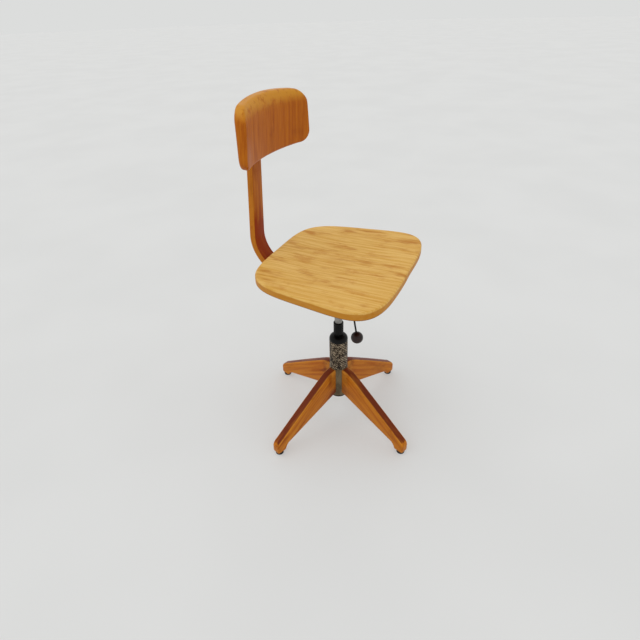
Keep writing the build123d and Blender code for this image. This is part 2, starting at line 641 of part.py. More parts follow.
def back_outline():
    """The board seen from the front: wider at the bottom, and arched a little proud of the block."""
    top = BACK_TOP - BACK_CROWN
    bottom = BACK_BOTTOM + BACK_SAG
    spare = 0.6
    edges = [
        ThreePointArc((-BACK_HALF_BOTTOM, bottom), (0, BACK_BOTTOM - spare), (BACK_HALF_BOTTOM, bottom)),
        Line((BACK_HALF_BOTTOM, bottom), (BACK_HALF_TOP, top)),
        ThreePointArc((BACK_HALF_TOP, top), (0, BACK_TOP + spare), (-BACK_HALF_TOP, top)),
        Line((-BACK_HALF_TOP, top), (-BACK_HALF_BOTTOM, bottom)),
    ]
    outline = make_face(Wire(edges))
    return fillet(outline.vertices(), BACK_CORNER_R)


def back_screw_places():
    """Where the hinge plate is screwed to the board, in the pivot's frame."""
    return [(x, z) for x in (-30, 30) for z in (-14, 14)]


def make_backrest():
    """The curved wooden backrest, its hinge plate and screws."""
    frame = pivot_frame()
    swing = Axis((0, BACK_FRONT - BACK_CURVE_R, 0), (0, 0, 1))
    section = Plane.YZ * back_section()
    board = revolve(section, swing, BACK_SWEEP)
    board += mirror(board, Plane.YZ)
    board &= extrude(Plane.XZ * back_outline(), 100, both=True)
    board -= block(-40.5, 40.5, BACK_PLATE_Y, 0, -22.5, 22.5)
    plate_back = BACK_PLATE_Y + BACK_PLATE_THICK
    plate = block(-40, 40, BACK_PLATE_Y, plate_back, -22, 22)
    plate += block(-7.8, 7.8, plate_back - 1, -PIVOT_OUT, -3.5, 3.5)
    plate += across(BARREL_R, 7.8, -PIVOT_OUT, 0)
    plate -= across(PIN_R + FIT_CLEAR, 9, -PIVOT_OUT, 0)
    screws = []
    for x, z in back_screw_places():
        shank = Pos(x, 0, z) * Rot(90, 0, 0) * rod(1.8, -plate_back, BACK_SCREW_END)
        head = Pos(x, 0, z) * Rot(90, 0, 0) * rod(3.6, -plate_back - 2, -plate_back)
        board -= shank
        plate -= shank
        screws.append(frame * (shank + head))
    NODES["backrest_board"] = frame * board
    NODES["backrest_plate"] = frame * plate
    NODES["backrest_screws"] = Compound(screws)


def make_clamp():
    """The clamp screw under the guide, with its lobed knob."""
    tip_z = POST_BOTTOM_Z - GUIDE_CLEAR - 0.1
    knob_top = 414.0
    knob_bottom = 398.0
    screw = rod(CLAMP_R, knob_bottom + 4, tip_z, 0, CLAMP_Y)
    knob = rod(15, knob_bottom, knob_top)
    for index in range(6):
        knob -= Rot(0, 0, index * 60) * rod(4, knob_bottom - 1, knob_top + 1, 17.5)
    knob = fillet(knob.edges().group_by(Axis.Z)[0], 1.5)
    knob += rod(7.5, knob_top, knob_top + 8)
    NODES["clamp_screw"] = screw
    NODES["clamp_knob"] = Pos(0, CLAMP_Y, 0) * knob - screw


def main():
    """Builds every node and writes one STEP file for each."""
    make_base_timber()
    make_leg_fixings()
    make_column()
    make_spindle()
    make_release()
    make_seat_board()
    make_seat_hub()
    make_seat_fixings()
    make_lever()
    make_post()
    make_backrest()
    make_clamp()
    os.makedirs("parts", exist_ok=True)
    for name, shape in NODES.items():
        export_step(shape, f"parts/{name}.step")


main()
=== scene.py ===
"""Drafting chair: the visual model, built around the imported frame.

The sitter faces -Y, the column stands on the origin and every length is in metres. Turned, bored and
pressed metal stays as the frame gives it and is dressed here. The legs, the bent post and the backrest
are modelled again with the soft edges that a spokeshave leaves.
"""

from __future__ import annotations

import logging
import math
from dataclasses import dataclass
from enum import Enum
from typing import Callable, Iterable

import bpy
from mathutils import Matrix, Vector

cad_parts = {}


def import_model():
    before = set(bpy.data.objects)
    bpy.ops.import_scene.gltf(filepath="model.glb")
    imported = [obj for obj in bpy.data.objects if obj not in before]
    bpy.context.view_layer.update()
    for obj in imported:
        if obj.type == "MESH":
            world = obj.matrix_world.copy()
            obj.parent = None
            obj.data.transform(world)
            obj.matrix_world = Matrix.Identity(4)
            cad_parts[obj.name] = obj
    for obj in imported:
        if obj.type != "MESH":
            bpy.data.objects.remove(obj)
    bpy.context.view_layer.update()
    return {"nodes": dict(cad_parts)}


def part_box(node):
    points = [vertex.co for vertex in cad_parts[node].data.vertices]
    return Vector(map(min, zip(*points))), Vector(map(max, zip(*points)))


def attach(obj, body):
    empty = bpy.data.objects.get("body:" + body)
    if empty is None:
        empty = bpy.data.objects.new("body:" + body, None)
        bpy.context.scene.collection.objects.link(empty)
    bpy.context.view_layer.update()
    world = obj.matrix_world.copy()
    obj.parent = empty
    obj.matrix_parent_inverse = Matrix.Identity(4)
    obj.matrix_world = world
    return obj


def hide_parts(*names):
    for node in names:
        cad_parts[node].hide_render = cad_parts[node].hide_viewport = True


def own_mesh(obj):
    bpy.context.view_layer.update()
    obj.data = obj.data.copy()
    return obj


LOG = logging.getLogger("drafting_chair")
MM = 0.001
SLEEVE_RADIUS = 25.4 * MM

Colour = tuple[float, float, float, float]
Socket = bpy.types.NodeSocket
Sources = dict[str, object]


def srgb(red: int, green: int, blue: int) -> Colour:
    """Turn a display colour into the linear one that shaders use.

    Args:
        red: Red, 0 to 255.
        green: Green, 0 to 255.
        blue: Blue, 0 to 255.

    Returns:
        The linear colour with an alpha of one.
    """
    return (*(((level / 255) ** 2.2) for level in (red, green, blue)), 1.0)


# ---------------------------------------------------------------------------------------------
# Shader building
# ---------------------------------------------------------------------------------------------


class GroupName(Enum):
    """The shader groups that several finishes share."""

    GRAIN = "timber grain"
    SOIL = "handling soil"
    CAST = "metal mottle"


@dataclass
class Wiring:
    """Places and joins the nodes of one node tree."""

    tree: bpy.types.NodeTree

    def node(self, kind: str, sources: Sources | None = None, **settings: object) -> bpy.types.Node:
        """Add a node, set its properties, and feed its inputs.

        Args:
            kind: The node's type name.
            sources: Input name or index to a value or another node's output.
            **settings: Properties of the node itself.

        Returns:
            The new node.
        """
        made = self.tree.nodes.new(kind)
        for name, value in settings.items():
            setattr(made, name, value)
        for key, value in (sources or {}).items():
            if isinstance(value, Socket):
                self.tree.links.new(value, made.inputs[key])
            else:
                made.inputs[key].default_value = value
        return made

    def math(self, operation: str, first: object, second: object = 0.0, clamp: bool = False) -> Socket:
        """Add a Math node and return its output."""
        made = self.node("ShaderNodeMath", {0: first, 1: second}, operation=operation, use_clamp=clamp)
        return made.outputs[0]

    def ramp(self, value: Socket, low: float, high: float) -> Socket:
        """Stretch a value smoothly so that low becomes 0 and high becomes 1."""
        sources = {"Value": value, "From Min": low, "From Max": high}
        made = self.node("ShaderNodeMapRange", sources, interpolation_type="SMOOTHSTEP")
        return made.outputs["Result"]

    def mix(self, factor: object, first: object, second: object, blend: str = "MIX") -> Socket:
        """Mix two colours and return the result."""
        made = self.node("ShaderNodeMix", None, data_type="RGBA", blend_type=blend)
        for index, value in ((0, factor), (6, first), (7, second)):
            if isinstance(value, Socket):
                self.tree.links.new(value, made.inputs[index])
            else:
                made.inputs[index].default_value = value
        return made.outputs[2]

    def noise(self, vector: Socket, stretch: tuple[float, float, float], detail: float = 4.0) -> Socket:
        """A noise whose cells are stretched by the reciprocals of the given frequencies per metre."""
        mapped = self.node("ShaderNodeMapping", {"Vector": vector, "Scale": stretch})
        sources = {"Vector": mapped.outputs[0], "Scale": 1.0, "Detail": detail, "Roughness": 0.6}
        return self.node("ShaderNodeTexNoise", sources).outputs["Fac"]

    def place(self, name: GroupName, sources: Sources) -> bpy.types.Node:
        """Place a shared group and feed its named inputs."""
        made = self.tree.nodes.new("ShaderNodeGroup")
        made.node_tree = shared_group(name)
        for key, value in sources.items():
            if isinstance(value, Socket):
                self.tree.links.new(value, made.inputs[key])
            else:
                made.inputs[key].default_value = value
        return made


def open_group(name: GroupName, inputs: dict[str, str], outputs: dict[str, str]) -> Wiring:
    """Make an empty shader group with named sockets.

    Args:
        name: The group's name.
        inputs: Socket name to socket type.
        outputs: Socket name to socket type.

    Returns:
        The group's wiring, with its input and output nodes in place.
    """
    tree = bpy.data.node_groups.new(name.value, "ShaderNodeTree")
    for label, kind in inputs.items():
        tree.interface.new_socket(label, in_out="INPUT", socket_type=kind)
    for label, kind in outputs.items():
        tree.interface.new_socket(label, in_out="OUTPUT", socket_type=kind)
    tree.nodes.new("NodeGroupInput").name = "in"
    tree.nodes.new("NodeGroupOutput").name = "out"
    return Wiring(tree)


def close_group(wiring: Wiring, results: dict[str, Socket]) -> bpy.types.NodeTree:
    """Join a group's results to its output node and return the group."""
    for label, value in results.items():
        wiring.tree.links.new(value, wiring.tree.nodes["out"].inputs[label])
    return wiring.tree


FLOAT = "NodeSocketFloat"
COLOUR = "NodeSocketColor"
VECTOR = "NodeSocketVector"


def grain_group() -> bpy.types.NodeTree:
    """Timber with its grain along X: streaks, broad darker flames, and open pores."""
    inputs = {"Vector": VECTOR, "Light": COLOUR, "Mid": COLOUR, "Dark": COLOUR, "Flame": FLOAT}
    wiring = open_group(GroupName.GRAIN, inputs, {"Color": COLOUR, "Height": FLOAT, "Gloss": FLOAT})
    entry = wiring.tree.nodes["in"].outputs
    streaks = wiring.noise(entry["Vector"], (7, 150, 150), 6.0)
    flames = wiring.noise(entry["Vector"], (9, 42, 42), 3.0)
    lines = wiring.noise(entry["Vector"], (22, 700, 700), 3.0)
    pores = wiring.noise(entry["Vector"], (90, 2400, 2400), 2.0)
    tone = wiring.mix(wiring.ramp(streaks, 0.36, 0.66), entry["Light"], entry["Mid"])
    shade = wiring.math("MULTIPLY", wiring.ramp(flames, 0.52, 0.76), entry["Flame"], clamp=True)
    tone = wiring.mix(shade, tone, entry["Dark"])
    fine = wiring.math("MULTIPLY", wiring.ramp(lines, 0.55, 0.75), 0.22)
    tone = wiring.mix(fine, tone, entry["Dark"])
    pits = wiring.ramp(pores, 0.62, 0.74)
    tone = wiring.mix(wiring.math("MULTIPLY", pits, 0.3), tone, entry["Dark"])
    relief = wiring.math("SUBTRACT", wiring.math("MULTIPLY", lines, 0.35), pits)
    return close_group(wiring, {"Color": tone, "Height": relief, "Gloss": flames})


def soil_group() -> bpy.types.NodeTree:
    """Years of handling: rubbed-through edges and dark soiled patches laid over a colour; on the backrest
    the edge input is a painted highlight.
    """
    inputs = {"Vector": VECTOR, "Color": COLOUR, "RubbedAndHighlight": COLOUR, "Soiled": COLOUR,
              "Edge": FLOAT, "RubAndHighlight": FLOAT, "Soil": FLOAT}
    wiring = open_group(GroupName.SOIL, inputs, {"Color": COLOUR, "Mask": FLOAT})
    entry = wiring.tree.nodes["in"].outputs
    breakup = wiring.noise(entry["Vector"], (70, 70, 70), 6.0)
    # Rubbed edges, and the backrest's painted crest highlight, broken up by noise.
    rubbed = wiring.math("MULTIPLY", entry["Edge"], wiring.ramp(breakup, 0.26, 0.5))
    rubbed = wiring.math("MULTIPLY", rubbed, entry["RubAndHighlight"], clamp=True)
    patches = wiring.ramp(wiring.noise(entry["Vector"], (19, 31, 23), 5.0), 0.53, 0.72)
    soiled = wiring.math("MULTIPLY", patches, entry["Soil"], clamp=True)
    tone = wiring.mix(soiled, entry["Color"], entry["Soiled"])
    tone = wiring.mix(rubbed, tone, entry["RubbedAndHighlight"])
    return close_group(wiring, {"Color": tone, "Mask": soiled})


def cast_group() -> bpy.types.NodeTree:
    """Metal or enamel that has aged unevenly: broad clouds, small flecks and a fine tooth."""
    inputs = {"Vector": VECTOR, "Base": COLOUR, "Cloud": COLOUR, "Fleck": COLOUR, "Flecks": FLOAT}
    wiring = open_group(GroupName.CAST, inputs, {"Color": COLOUR, "Rough": FLOAT, "Height": FLOAT})
    entry = wiring.tree.nodes["in"].outputs
    clouds = wiring.ramp(wiring.noise(entry["Vector"], (60, 60, 35), 5.0), 0.4, 0.68)
    grit = wiring.noise(entry["Vector"], (620, 620, 620), 3.0)
    flecks = wiring.math("MULTIPLY", wiring.ramp(grit, 0.6, 0.72), entry["Flecks"], clamp=True)
    tone = wiring.mix(clouds, entry["Base"], entry["Cloud"])
    tone = wiring.mix(flecks, tone, entry["Fleck"])
    rough = wiring.math("ADD", wiring.math("MULTIPLY", clouds, 0.2), wiring.math("MULTIPLY", grit, 0.15))
    return close_group(wiring, {"Color": tone, "Rough": rough, "Height": grit})


GROUP_MAKERS: dict[GroupName, Callable[[], bpy.types.NodeTree]] = {
    GroupName.GRAIN: grain_group,
    GroupName.SOIL: soil_group,
    GroupName.CAST: cast_group,
}


def shared_group(name: GroupName) -> bpy.types.NodeTree:
    """The shared group of that name, built on first use."""
    return bpy.data.node_groups.get(name.value) or GROUP_MAKERS[name]()


class Field(Enum):
    """What a timber's pattern follows."""

    PLACE = "object coordinates"
    RUN = "grain attribute"


def open_material(name: str) -> tuple[bpy.types.Material, Wiring, bpy.types.Node]:
    """Make a node material.

    Args:
        name: The finish's name.

    Returns:
        The material, its wiring and its Principled shader.
    """
    material = bpy.data.materials.new(name)
    material.use_nodes = True
    return material, Wiring(material.node_tree), material.node_tree.nodes["Principled BSDF"]


def relief(wiring: Wiring, shader: bpy.types.Node, height: Socket, strength: float, depth: float) -> None:
    """Feed a height to a shader through a Bump node."""
    bump = wiring.node("ShaderNodeBump", {"Height": height, "Strength": strength, "Distance": depth})
    wiring.tree.links.new(bump.outputs[0], shader.inputs["Normal"])


@dataclass(frozen=True)
class Timber:
    """Varnished wood: three tones, how worn it is, and which way its grain runs."""

    name: str
    light: Colour
    mid: Colour
    dark: Colour
    # Rubbed edges; also the colour of a painted highlight where the edge mask marks one.
    rubbed: Colour
    # Dark patches; also the colour that paints shade through the shade field.
    soiled: Colour
    follows: Field = Field.RUN
    turn: float = 0.0
    flame: float = 0.5
    rub_and_highlight: float = 0.8
    soil: float = 0.4
    roughness: float = 0.42
    shine: float = 0.1
    coat: float = 0.02
    band: tuple[float, float] | None = None
    # Attribute that marks painted shade, and on the legs their darker tops.
    shade_field: str = ""

    def coordinates(self, wiring: Wiring) -> Socket:
        """The vector that the grain runs along, with X down the grain."""
        if self.follows is Field.RUN:
            return wiring.node("ShaderNodeAttribute", attribute_name="run").outputs["Vector"]
        place = wiring.node("ShaderNodeTexCoord").outputs["Object"]
        turned = wiring.node("ShaderNodeMapping", {"Vector": place, "Rotation": (0, 0, self.turn)})
        return turned.outputs[0]

    def edge(self, wiring: Wiring) -> object:
        """How near a point is to a rubbed arris, where the piece says so; on the backrest it marks the
        painted highlight on the crest.
        """
        if self.follows is Field.PLACE:
            return 0.0
        return wiring.node("ShaderNodeAttribute", attribute_name="arris").outputs["Fac"]

    def build(self) -> bpy.types.Material:
        """Build the material and return it."""
        material, wiring, shader = open_material(self.name)
        vector = self.coordinates(wiring)
        grain = wiring.place(GroupName.GRAIN, {
            "Vector": vector, "Light": self.light, "Mid": self.mid, "Dark": self.dark,
            "Flame": self.flame})
        tone = grain.outputs["Color"]
        # Painted shade, and on the legs their darker tops: the shade field mixes the soiled colour in,
        # ragged along the grain.
        if self.shade_field:
            deep = wiring.node("ShaderNodeAttribute", attribute_name=self.shade_field).outputs["Fac"]
            swing = wiring.math("SUBTRACT", grain.outputs["Gloss"], 0.5)
            ragged = wiring.math("ADD", deep, wiring.math("MULTIPLY", swing, 1.8))
            tone = wiring.mix(wiring.ramp(ragged, 0.3, 1.0), tone, self.soiled)
        if self.band:
            tone = self.banded(wiring, vector, tone)
        # Rubbed edges and dark patches; on the backrest the edge mask is a painted highlight.
        worn = wiring.place(GroupName.SOIL, {
            "Vector": vector, "Color": tone, "RubbedAndHighlight": self.rubbed, "Soiled": self.soiled,
            "Edge": self.edge(wiring), "RubAndHighlight": self.rub_and_highlight, "Soil": self.soil})
        wiring.tree.links.new(worn.outputs["Color"], shader.inputs["Base Color"])
        gloss = wiring.math("MULTIPLY", wiring.math("SUBTRACT", grain.outputs["Gloss"], 0.5), 0.3)
        gloss = wiring.math("ADD", gloss, self.roughness)
        wiring.tree.links.new(gloss, shader.inputs["Roughness"])
        shader.inputs["Specular IOR Level"].default_value = self.shine
        shader.inputs["Coat Weight"].default_value = self.coat
        shader.inputs["Coat Roughness"].default_value = 0.3
        relief(wiring, shader, grain.outputs["Height"], 0.25, 0.25 * MM)
        return material

    def banded(self, wiring: Wiring, place: Socket, tone: Socket) -> Socket:
        """Colour a board's sides: a warm edge band under the worn top, dark along its lower arris.

        Args:
            wiring: The material's wiring.
            place: Object coordinates.
            tone: The colour of the top.

        Returns:
            The colour of the whole board.
        """
        low, high = self.band
        height = wiring.node("ShaderNodeSeparateXYZ", {0: place}).outputs["Z"]
        ripple = wiring.math("MULTIPLY", wiring.noise(place, (14, 14, 14), 2.0), 2.0 * MM)
        level = wiring.math("SUBTRACT", height, ripple)
        side = wiring.ramp(level, high + 0.6 * MM, high - 1.6 * MM)
        warm = wiring.mix(0.8, tone, srgb(186, 118, 30))
        tone = wiring.mix(side, tone, warm)
        foot = wiring.ramp(level, low + 3.0 * MM, low + 0.5 * MM)
        return wiring.mix(wiring.math("MULTIPLY", foot, 0.75), tone, srgb(74, 34, 12))


@dataclass(frozen=True)
class Metal:
    """Bare or enamelled metal with clouds, flecks and a fine tooth."""

    name: str
    base: Colour
    cloud: Colour
    fleck: Colour
    flecks: float = 0.5
    metallic: float = 0.0
    roughness: float = 0.35
    tooth: float = 0.06
    shine: float = 0.4
    hatch: float = 0.0

    def build(self) -> bpy.types.Material:
        """Build the material and return it."""
        material, wiring, shader = open_material(self.name)
        place = wiring.node("ShaderNodeTexCoord").outputs["Object"]
        mottle = wiring.place(GroupName.CAST, {
            "Vector": place, "Base": self.base, "Cloud": self.cloud, "Fleck": self.fleck,
            "Flecks": self.flecks})
        tone = mottle.outputs["Color"]
        height = mottle.outputs["Height"]
        if self.hatch:
            worn = self.crossed(wiring, place)
            tone = wiring.mix(worn, tone, self.fleck)
            height = wiring.math("ADD", wiring.math("MULTIPLY", height, 0.3), worn)
        wiring.tree.links.new(tone, shader.inputs["Base Color"])
        rough = wiring.math("ADD", mottle.outputs["Rough"], self.roughness - 0.15, clamp=True)
        wiring.tree.links.new(rough, shader.inputs["Roughness"])
        shader.inputs["Metallic"].default_value = self.metallic
        shader.inputs["Specular IOR Level"].default_value = self.shine
        relief(wiring, shader, height, self.tooth * 5, self.tooth * MM)
        return material

    def crossed(self, wiring: Wiring, place: Socket) -> Socket:
        """Two sets of slanting scores round the column, rubbed away unevenly.

        Args:
            wiring: The material's wiring.
            place: Object coordinates.

        Returns:
            How bright each point is rubbed.
        """
        parts = wiring.node("ShaderNodeSeparateXYZ", {0: place}).outputs
        angle = wiring.math("ARCTAN2", parts["Y"], parts["X"])
        turn = wiring.math("MULTIPLY", angle, SLEEVE_RADIUS)
        wander = wiring.math("MULTIPLY", wiring.noise(place, (90, 90, 90), 3.0), 5.0 * MM)
        scores = []
        for slope in (1.0, -1.35):
            across = wiring.math("ADD", turn, wiring.math("MULTIPLY", parts["Z"], slope))
            bent = wiring.math("ADD", across, wander)
            wave = wiring.math("SINE", wiring.math("MULTIPLY", bent, self.hatch))
            scores.append(wiring.ramp(wave, 0.25, 0.95))
        both = wiring.math("MAXIMUM", scores[0], wiring.math("MULTIPLY", scores[1], 0.8))
        patchy = wiring.ramp(wiring.noise(place, (150, 150, 110), 4.0), 0.4, 0.62)
        return wiring.math("MULTIPLY", both, wiring.math("MULTIPLY", patchy, 0.85))


@dataclass(frozen=True)
class Moulding:
    """Moulded resin: a dark body with marbled swirls and specks."""

    name: str
    body: Colour
    swirl: Colour
    speck: Colour
    roughness: float = 0.22
    coat: float = 0.0
    shine: float = 0.3

    def build(self) -> bpy.types.Material:
        """Build the material and return it."""
        material, wiring, shader = open_material(self.name)
        place = wiring.node("ShaderNodeTexCoord").outputs["Object"]
        swirls = wiring.ramp(wiring.noise(place, (130, 130, 130), 6.0), 0.42, 0.66)
        specks = wiring.ramp(wiring.noise(place, (900, 900, 900), 2.0), 0.6, 0.7)
        tone = wiring.mix(swirls, self.body, self.swirl)
        tone = wiring.mix(wiring.math("MULTIPLY", specks, 0.6), tone, self.speck)
        wiring.tree.links.new(tone, shader.inputs["Base Color"])
        rough = wiring.math("ADD", wiring.math("MULTIPLY", swirls, 0.12), self.roughness)
        wiring.tree.links.new(rough, shader.inputs["Roughness"])
        shader.inputs["Coat Weight"].default_value = self.coat
        shader.inputs["Specular IOR Level"].default_value = self.shine
        relief(wiring, shader, specks, 0.12, 0.05 * MM)
        return material


SEAT_TIMBER = Timber(
    "worn honey seat", srgb(228, 184, 104), srgb(210, 158, 72), srgb(176, 108, 32), srgb(232, 196, 120),
    srgb(188, 122, 42), Field.PLACE, math.radians(90), flame=0.8, soil=0.5, roughness=0.46,
    band=(487.5 * MM, 504 * MM))
# The soiled colours of the legs and the post also paint their shade.
LEG_TIMBER = Timber(
    "amber leg varnish", srgb(198, 122, 34), srgb(174, 94, 22), srgb(128, 56, 14), srgb(214, 142, 54),
    srgb(112, 48, 22), flame=0.55, rub_and_highlight=0.7, soil=0.35, shade_field="deep")
POST_TIMBER = Timber(
    "bent post varnish", srgb(182, 108, 28), srgb(162, 84, 16), srgb(122, 50, 10), srgb(208, 138, 48),
    srgb(142, 54, 12), flame=0.5, rub_and_highlight=0.6, soil=0.2, shade_field="deep")
# Its rubbed colour also paints the highlight on the rolled crest.
BACK_TIMBER = Timber(
    "deep amber backrest", srgb(186, 106, 24), srgb(168, 88, 16), srgb(134, 60, 12), srgb(208, 142, 46),
    srgb(132, 58, 14), flame=0.35, rub_and_highlight=0.95, soil=0.3)
DOWEL_TIMBER = Timber(
    "plain dowel", srgb(206, 160, 98), srgb(188, 140, 76), srgb(150, 104, 50), srgb(206, 160, 98),
    srgb(150, 104, 50), Field.PLACE, soil=0.1)

HUB_ENAMEL = Metal("olive hub enamel", srgb(112, 98, 70), srgb(80, 68, 46), srgb(152, 140, 112), 0.5,
                   roughness=0.45)
SLEEVE_METAL = Metal("scored sleeve", srgb(48, 36, 26), srgb(24, 19, 16), srgb(206, 186, 156), 0.5,
                     metallic=0.3, roughness=0.5, tooth=0.3, shine=0.2, hatch=785.0)
BLACK_ENAMEL = Metal("black enamel", srgb(12, 12, 13), srgb(22, 21, 20), srgb(80, 77, 74), 0.2,
                     roughness=0.36, shine=0.16)
BRACKET_ENAMEL = Metal("satin bracket enamel", srgb(24, 24, 25), srgb(38, 36, 34), srgb(104, 100, 94), 0.3,
                       roughness=0.5, shine=0.25)
BRIGHT_STEEL = Metal("dull bright steel", srgb(150, 148, 144), srgb(116, 112, 106), srgb(190, 188, 184), 0.4,
                     metallic=0.9, roughness=0.38)
CAST_METAL = Metal("machined casting", srgb(92, 92, 94), srgb(70, 68, 66), srgb(130, 130, 130), 0.4,
                   metallic=0.7, roughness=0.5)
KNOB_RESIN = Moulding("marbled knob resin", srgb(26, 12, 10), srgb(48, 24, 18), srgb(96, 60, 48), 0.32, 0.05)
GLIDE_RESIN = Moulding("black glide resin", srgb(26, 25, 24), srgb(38, 36, 34), srgb(70, 66, 62), 0.5, 0.0)

NODE_FINISHES: dict[Timber | Metal | Moulding, tuple[str, ...]] = {
    SEAT_TIMBER: ("seat_board",),
    DOWEL_TIMBER: ("leg_dowels",),
    HUB_ENAMEL: ("hub_tube",),
    SLEEVE_METAL: ("column_sleeve",),
    BLACK_ENAMEL: ("bottom_cap", "column_cap", "guide_collar", "collar_screw", "lever_rod", "lever_crank",
                   "clamp_knob"),
    BRACKET_ENAMEL: ("seat_plate", "post_guide", "pivot_bracket", "backrest_plate"),
    BRIGHT_STEEL: ("spindle", "lower_race", "upper_race", "bearing_balls", "retaining_nut", "release_spring",
                   "release_rod", "seat_screws", "guide_screws", "lever_pin", "clamp_screw", "bracket_bolts",
                   "pivot_pin", "backrest_screws", "leg_studs", "leg_washers", "leg_nuts", "glide_nails",
                   "liner_tube"),
    CAST_METAL: ("locking_shoe", "wedge_cone", "guide_bush"),
    KNOB_RESIN: ("ball_knob",),
    GLIDE_RESIN: tuple(f"glide_{index}" for index in range(1, 5)),
}


# ---------------------------------------------------------------------------------------------
# Modelling
# ---------------------------------------------------------------------------------------------


class Bench:
    """The edit-mode operators that shape one piece, and the choice of what they act on."""

    def __init__(self, name: str) -> None:
        """Name the active object, which has just been added as a primitive.

        Args:
            name: The piece's name.
        """
        self.piece = bpy.context.active_object
        self.piece.name = name
        self.piece.data.name = name

    def clear(self, mode: str) -> None:
        """Leave nothing selected, in object mode, with edit mode set to take one kind of element."""
        bpy.ops.object.mode_set(mode="EDIT")
        bpy.ops.mesh.select_mode(type=mode)
        bpy.ops.object.mode_set(mode="OBJECT")
        mesh = self.piece.data
        for items in (mesh.vertices, mesh.edges, mesh.polygons):
            items.foreach_set("select", [False] * len(items))

    def pick(self, keep: Callable[[Vector], bool], mode: str = "VERT") -> None:
        """Select, in edit mode, only the elements whose vertices all satisfy a test on their place."""
        self.clear(mode)
        mesh = self.piece.data
        chosen = {v.index for v in mesh.vertices if keep(v.co)}
        if mode == "VERT":
            for index in chosen:
                mesh.vertices[index].select = True
        for face in mesh.polygons if mode == "FACE" else ():
            face.select = all(index in chosen for index in face.vertices)
        bpy.ops.object.mode_set(mode="EDIT")

    def pick_edges(self, keep: Callable[[Vector, Vector], bool]) -> None:
        """Select, in edit mode, only the edges whose two ends satisfy a test."""
        self.clear("EDGE")
        mesh = self.piece.data
        for edge in mesh.edges:
            first, second = (mesh.vertices[index].co for index in edge.vertices)
            edge.select = keep(first, second)
        bpy.ops.object.mode_set(mode="EDIT")

    def merge_flats(self) -> None:
        """Join the faces that lie in one plane, so that a rounding can run across them."""
        bpy.ops.object.mode_set(mode="EDIT")
        bpy.ops.mesh.select_all(action="SELECT")
        bpy.ops.mesh.dissolve_limited(angle_limit=math.radians(0.2))
        bpy.ops.object.mode_set(mode="OBJECT")

    def slice(self, axis: int, places: Iterable[float]) -> None:
        """Cut the faces across at places along an axis.

        Args:
            axis: 0 for X, 1 for Y, 2 for Z.
            places: Where to cut.
        """
        bpy.ops.object.mode_set(mode="EDIT")
        bpy.ops.mesh.select_mode(type="VERT")
        normal = Vector((0, 0, 0))
        normal[axis] = 1.0
        for place in places:
            bpy.ops.mesh.select_all(action="SELECT")
            bpy.ops.mesh.bisect(plane_co=normal * place, plane_no=normal)
        bpy.ops.object.mode_set(mode="OBJECT")

    def extrude(self, shift: Vector) -> None:
        """Extrude the selected face by a shift."""
        bpy.ops.mesh.extrude_region_move(TRANSFORM_OT_translate={"value": shift})

    def move(self, keep: Callable[[Vector], bool], shift: Vector) -> None:
        """Move the vertices that satisfy a test."""
        self.pick(keep)
        bpy.ops.transform.translate(value=shift)

    def close(self) -> None:
        """Leave edit mode with doubled vertices merged and every face pointing outwards."""
        bpy.ops.object.mode_set(mode="EDIT")
        bpy.ops.mesh.select_all(action="SELECT")
        bpy.ops.mesh.remove_doubles(threshold=0.01 * MM)
        bpy.ops.mesh.normals_make_consistent(inside=False)
        bpy.ops.object.mode_set(mode="OBJECT")

    def soften(self, width: float, segments: int, angle: float = 35.0) -> None:
        """Round every arris that is sharper than an angle."""
        bevel = self.piece.modifiers.new("soften", "BEVEL")
        bevel.width = width
        bevel.segments = segments
        bevel.limit_method = "ANGLE"
        bevel.angle_limit = math.radians(angle)
        bpy.ops.object.modifier_apply(modifier=bevel.name)

    def smooth(self, angle: float = 40.0) -> None:
        """Shade the piece smooth, apart from its sharpest edges."""
        bpy.ops.object.shade_smooth_by_angle(angle=math.radians(angle))

    def paint(self, name: str, measure: Callable[[bpy.types.MeshVertex], float]) -> None:
        """Store a number at each vertex, for the finish to read."""
        layer = self.piece.data.attributes.new(name, "FLOAT", "POINT")
        for vertex in self.piece.data.vertices:
            layer.data[vertex.index].value = measure(vertex)

    def run(self, measure: Callable[[Vector], Vector]) -> None:
        """Store at each vertex where it lies along, across and through the grain."""
        layer = self.piece.data.attributes.new("run", "FLOAT_VECTOR", "POINT")
        for vertex in self.piece.data.vertices:
            layer.data[vertex.index].vector = measure(vertex.co)

    def cut(self, low: Vector, high: Vector) -> None:
        """Cut a box out of the piece.

        Args:
            low: The box's lowest corner.
            high: The box's highest corner.
        """
        cutter = start_cube("cutter", low, high).piece
        deselect()
        self.piece.select_set(True)
        bpy.context.view_layer.objects.active = self.piece
        cut = self.piece.modifiers.new("cut", "BOOLEAN")
        cut.object = cutter
        cut.solver = "EXACT"
        bpy.ops.object.modifier_apply(modifier=cut.name)
        bpy.data.objects.remove(cutter)

    def dress(self, material: bpy.types.Material) -> None:
        """Give the piece its material."""
        self.piece.data.materials.clear()
        self.piece.data.materials.append(material)


def deselect() -> None:
    """Leave nothing selected, so that the next operator acts on its own primitive alone."""
    if bpy.context.mode != "OBJECT":
        bpy.ops.object.mode_set(mode="OBJECT")
    bpy.ops.object.select_all(action="DESELECT")


def start_cube(name: str, low: Vector, high: Vector) -> Bench:
    """Add a box between two corners, with its place in its mesh.

    Args:
        name: The piece's name.
        low: The lowest corner.
        high: The highest corner.

    Returns:
        The bench that holds it.
    """
    deselect()
    bpy.ops.mesh.primitive_cube_add(size=1.0, location=(low + high) / 2)
    bench = Bench(name)
    bench.piece.scale = high - low
    bpy.ops.object.transform_apply(location=True, rotation=True, scale=True)
    return bench


def near(value: float, target: float) -> bool:
    """Whether two lengths agree to a hundredth of a millimetre."""
    return abs(value - target) < 0.01 * MM


def fade(value: float, start: float, end: float) -> float:
    """How far a value has come from start, as 0, to end, as 1."""
    share = min(max((value - start) / (end - start), 0.0), 1.0)
    return share * share * (3 - 2 * share)


